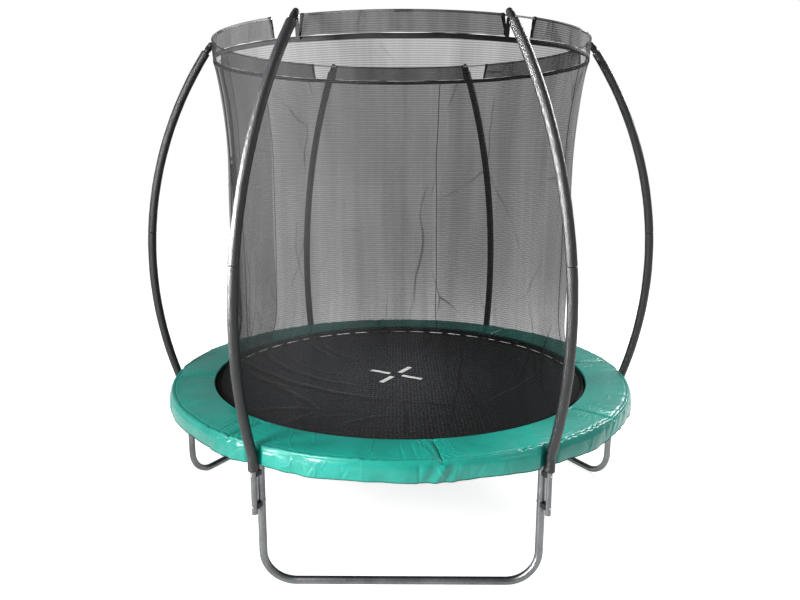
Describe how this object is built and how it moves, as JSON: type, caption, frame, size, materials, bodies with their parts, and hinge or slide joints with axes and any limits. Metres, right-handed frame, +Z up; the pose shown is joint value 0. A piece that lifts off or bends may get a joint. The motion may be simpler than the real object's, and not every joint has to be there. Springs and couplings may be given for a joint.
{
  "type": "garden trampoline",
  "caption": "Round garden trampoline on U-shaped legs, with padded curved poles, a zipped safety net on a top ring and a green spring pad.",
  "frame": {"origin": "on the ground, under the centre of the mat", "axes": "+Z up; -Y towards the front U-shaped leg; +X towards the side pole opposite the net's door"},
  "size_m": [2.7502, 2.4616, 2.4141],
  "materials": {
    "galvanised_steel": "satin",
    "foam": "matte",
    "black_plastic": "satin",
    "webbing": "matte",
    "zinc_fastener": "satin",
    "spring_steel": "satin",
    "mat_fabric": "matte",
    "white_print": "matte",
    "pad_pvc": "gloss",
    "pad_filling": "matte",
    "netting": "matte",
    "glass_fibre": "satin",
    "zip_metal": "satin",
    "clip_plastic": "satin"
  },
  "bodies": {
    "frame": {"rail_segment_1": "galvanised_steel", "rail_segment_2": "galvanised_steel", "rail_segment_3": "galvanised_steel", "rail_segment_4": "galvanised_steel", "rail_segment_5": "galvanised_steel", "rail_segment_6": "galvanised_steel", "leg_extension_1": "galvanised_steel", "leg_extension_2": "galvanised_steel", "leg_extension_3": "galvanised_steel", "leg_extension_4": "galvanised_steel", "leg_extension_5": "galvanised_steel", "leg_extension_6": "galvanised_steel", "leg_base_front": "galvanised_steel", "leg_base_right": "galvanised_steel", "leg_base_left": "galvanised_steel", "pole_lower_1": "galvanised_steel", "pole_lower_2": "galvanised_steel", "pole_lower_3": "galvanised_steel", "pole_lower_4": "galvanised_steel", "pole_lower_5": "galvanised_steel", "pole_lower_6": "galvanised_steel", "pole_upper_1": "galvanised_steel", "pole_upper_2": "galvanised_steel", "pole_upper_3": "galvanised_steel", "pole_upper_4": "galvanised_steel", "pole_upper_5": "galvanised_steel", "pole_upper_6": "galvanised_steel", "foam_sleeve_1": "foam", "foam_sleeve_2": "foam", "foam_sleeve_3": "foam", "foam_sleeve_4": "foam", "foam_sleeve_5": "foam", "foam_sleeve_6": "foam", "pole_caps": "black_plastic", "net_straps": "webbing", "bracket_spacers": "black_plastic", "bracket_bolts": "zinc_fastener", "bracket_nuts": "zinc_fastener", "frame_screws": "zinc_fastener", "springs": "spring_steel", "pad_cover": "pad_pvc", "pad_foam": "pad_filling", "pad_ties": "webbing", "net_wall": "netting", "net_top_sleeves": "netting", "net_hem": "webbing", "top_ring_rods": "glass_fibre", "rod_ferrules": "zinc_fastener", "zip_tapes": "webbing", "zip_teeth": "black_plastic", "door_bindings": "webbing", "door_clips": "clip_plastic"},
    "mat": {"jump_mat": "mat_fabric", "mat_hem": "webbing", "mat_loops": "webbing", "mat_cross": "white_print", "v_rings": "spring_steel", "net_bottom_hem": "webbing"},
    "slider": {"zip_slider": "zip_metal"},
    "pull": {"zip_pull": "zip_metal"}
  },
  "joints": [
    {"name": "mat_bounce", "type": "slide", "parent": "frame", "child": "mat", "axis": [0, 0, 1], "range_m": [-0.12, 0], "stiffness_N_per_m": 4000, "springref_m": 0.02, "deforming": ["springs"]},
    {"name": "door_zip", "type": "slide", "parent": "frame", "child": "slider", "axis": [0, 0, 1], "range_m": [-0.74, 0]},
    {"name": "zip_pull_swing", "type": "hinge", "parent": "slider", "child": "pull", "pos_m": [-0.898, 0, 1.777], "axis": [0, 1, 0], "range_deg": [0, 150]}
  ]
}
